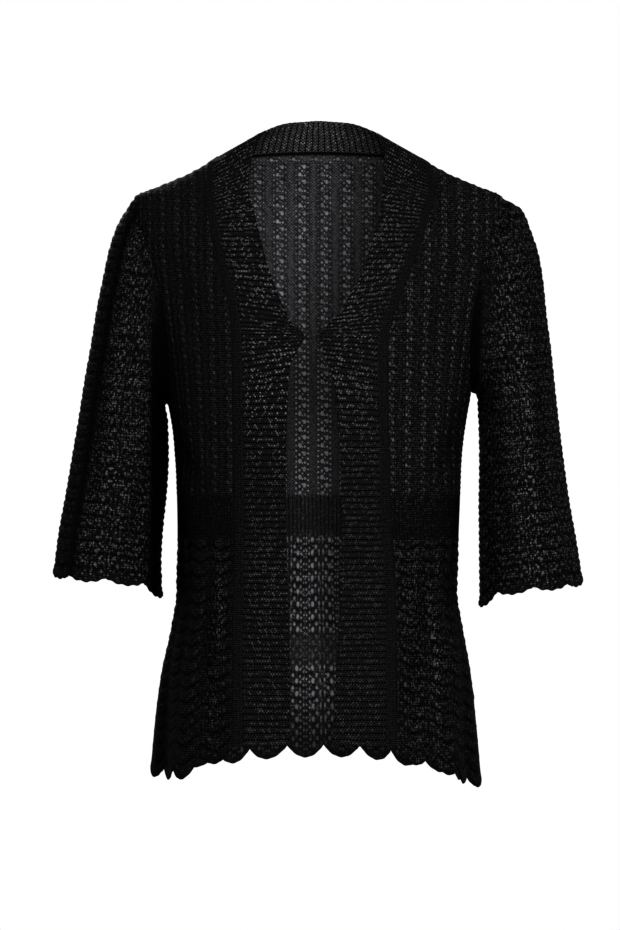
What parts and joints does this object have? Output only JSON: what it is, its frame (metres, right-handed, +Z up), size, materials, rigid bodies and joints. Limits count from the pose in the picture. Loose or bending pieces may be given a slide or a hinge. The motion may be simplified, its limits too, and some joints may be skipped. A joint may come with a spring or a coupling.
{
  "type": "cardigan",
  "caption": "Black half-sleeve knitted cardigan with lace sleeves and skirt, ribbed front bands and neckband, scalloped hem and cuffs, hooked shut at the bust",
  "frame": {"origin": "between the shoulders at the height of the neck side, where a wearer holds the garment up", "axes": "+Z up, -Y out of the front, +X to the wearer's left; metres"},
  "size_m": [0.529, 0.2374, 0.6699],
  "materials": {
    "knit": "satin",
    "band_knit": "satin",
    "edging_knit": "satin",
    "wire": "satin"
  },
  "bodies": {
    "root": {"back": "knit", "front_left": "knit", "front_right": "knit", "sleeve_left": "knit", "sleeve_right": "knit", "band_left": "band_knit", "band_right": "band_knit", "collar": "band_knit", "edging_left": "edging_knit", "edging_right": "edging_knit", "edging_neck": "edging_knit", "hook": "wire", "eye": "wire"}
  },
  "joints": []
}
